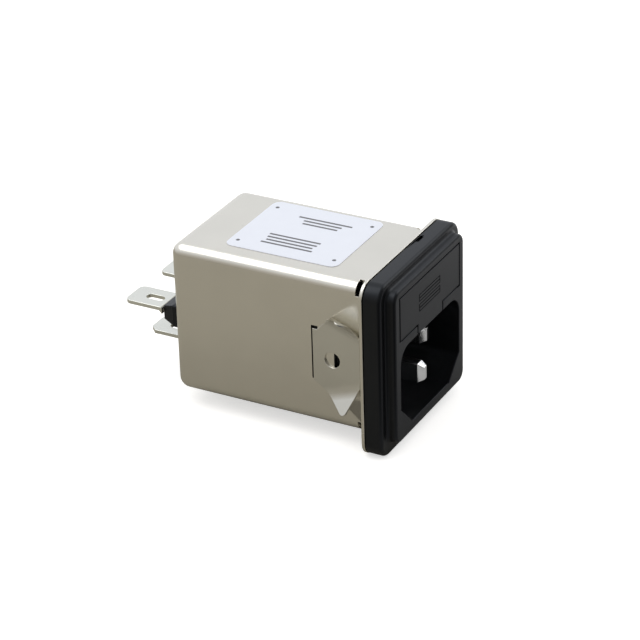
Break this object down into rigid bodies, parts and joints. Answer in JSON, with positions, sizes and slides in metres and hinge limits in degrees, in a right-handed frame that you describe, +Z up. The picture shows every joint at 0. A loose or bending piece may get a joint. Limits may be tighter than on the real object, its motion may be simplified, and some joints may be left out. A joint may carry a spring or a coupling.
{
  "type": "power entry module",
  "caption": "Snap-in panel inlet for a mains cord with a pull-out fuse drawer above the pins and a line filter in a plated can with blade terminals behind.",
  "frame": {"origin": "middle of the rim's rear face, which lies on the front of the panel", "axes": "+Z up, +X to the right as seen from the front, +Y from the front face back through the panel to the blade terminals"},
  "size_m": [0.0344, 0.0594, 0.0348],
  "materials": {
    "nickel_can": "satin nickel plate on drawn steel",
    "spring_steel": "satin nickel plate on spring steel",
    "black_plastic": "fine matte moulding",
    "fuse_glass": "clear drawn glass",
    "plated_fuse": "nickel plate on brass",
    "plated_blade": "tin plate on brass",
    "contact_brass": "rolled, bare",
    "label_film": "smooth coated film",
    "board": "laminated paper board",
    "choke_plastic": "moulded",
    "ferrite": "lacquered ferrite",
    "winding_wire": "enamelled copper",
    "box_capacitor": "moulded box",
    "disc_capacitor": "dipped resin",
    "resistor": "lacquered",
    "link_wire": "brown insulation on copper",
    "lead_wire": "blue insulation on copper"
  },
  "bodies": {
    "module": {"filter_can": "nickel_can", "inlet_housing": "black_plastic", "earth_pin": "plated_blade", "line_pin": "plated_blade", "neutral_pin": "plated_blade", "line_in_contact": "contact_brass", "line_out_contact": "contact_brass", "neutral_in_contact": "contact_brass", "neutral_out_contact": "contact_brass", "left_snap_spring": "spring_steel", "right_snap_spring": "spring_steel", "line_tab": "plated_blade", "neutral_tab": "plated_blade", "earth_tab": "plated_blade", "line_bushing": "black_plastic", "neutral_bushing": "black_plastic", "earth_rivet": "plated_blade", "label": "label_film", "filter_board": "board", "choke_base": "choke_plastic", "choke_core": "ferrite", "line_winding": "winding_wire", "neutral_winding": "winding_wire", "x_capacitor": "box_capacitor", "line_y_capacitor": "disc_capacitor", "neutral_y_capacitor": "disc_capacitor", "bleed_resistor": "resistor", "line_link": "link_wire", "neutral_link": "link_wire", "line_lead": "lead_wire", "neutral_lead": "lead_wire", "earth_strap": "plated_blade"},
    "drawer": {"fuse_drawer": "black_plastic", "front_fuse_tube": "fuse_glass", "front_fuse_left_cap": "plated_fuse", "front_fuse_right_cap": "plated_fuse", "front_fuse_wire": "plated_fuse", "rear_fuse_tube": "fuse_glass", "rear_fuse_left_cap": "plated_fuse", "rear_fuse_right_cap": "plated_fuse", "rear_fuse_wire": "plated_fuse"}
  },
  "joints": [
    {"name": "drawer_slide", "type": "slide", "parent": "module", "child": "drawer", "axis": [0, -1, 0], "range_m": [0, 0.018]}
  ]
}
